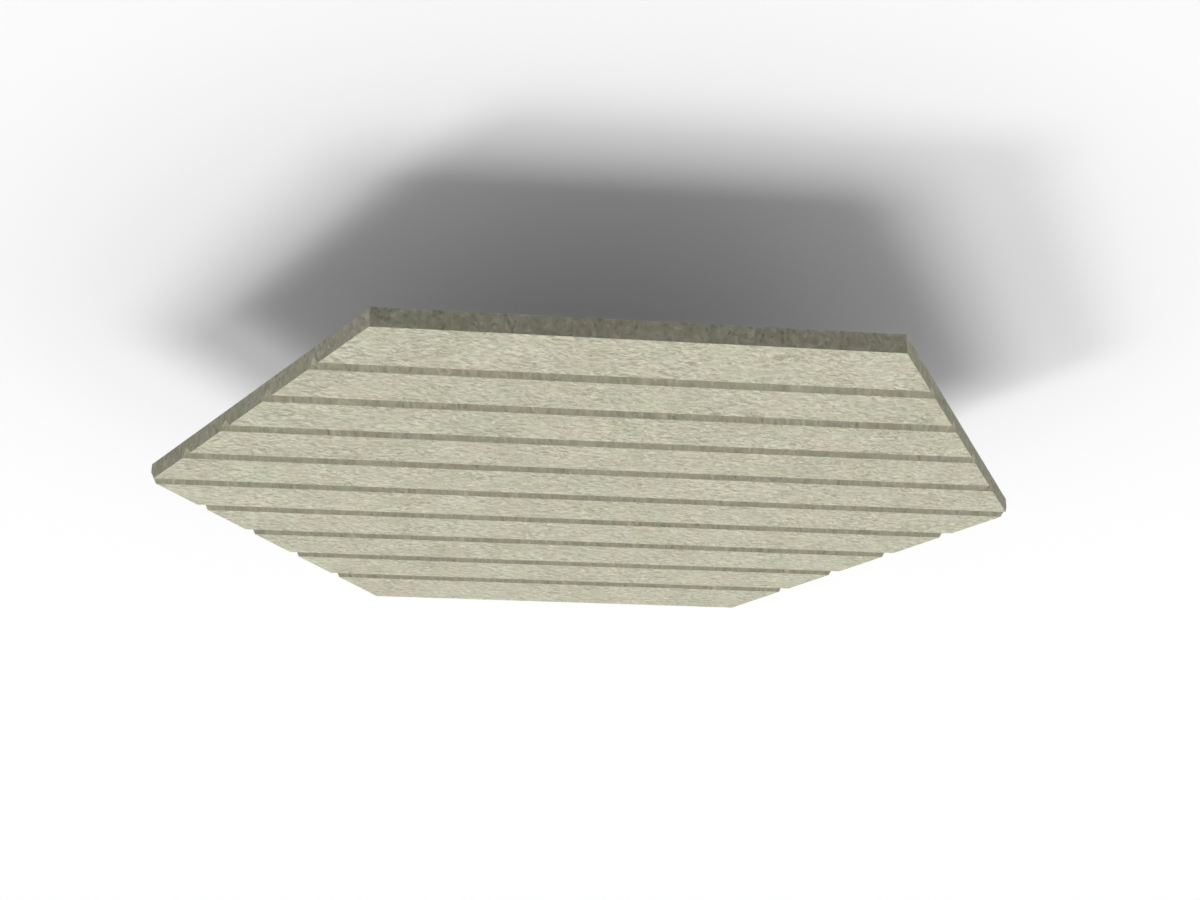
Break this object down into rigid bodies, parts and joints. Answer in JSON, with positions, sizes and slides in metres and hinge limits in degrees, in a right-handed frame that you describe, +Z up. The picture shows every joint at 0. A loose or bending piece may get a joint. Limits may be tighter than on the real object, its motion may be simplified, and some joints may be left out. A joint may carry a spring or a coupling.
{
  "type": "hexagonal acoustic ceiling panel",
  "caption": "Regular hexagon of thick felt board that hangs flat below a ceiling to absorb sound; parallel V-grooves cross its lower face and run out through the edges.",
  "frame": {"origin": "centre of the back face, the plain face that looks up at the ceiling", "axes": "+Z up, out of the back face towards the ceiling; +X along the grooves, from corner to corner; +Y across the grooves, from flat side to flat side; the grooved face looks down along -Z"},
  "size_m": [1.2, 1.0392, 0.024],
  "materials": {
    "felt": "pressed felt, heathered light grey-green, matte and lightly fibrous"
  },
  "bodies": {
    "root": {"felt_panel": "felt"}
  },
  "joints": []
}
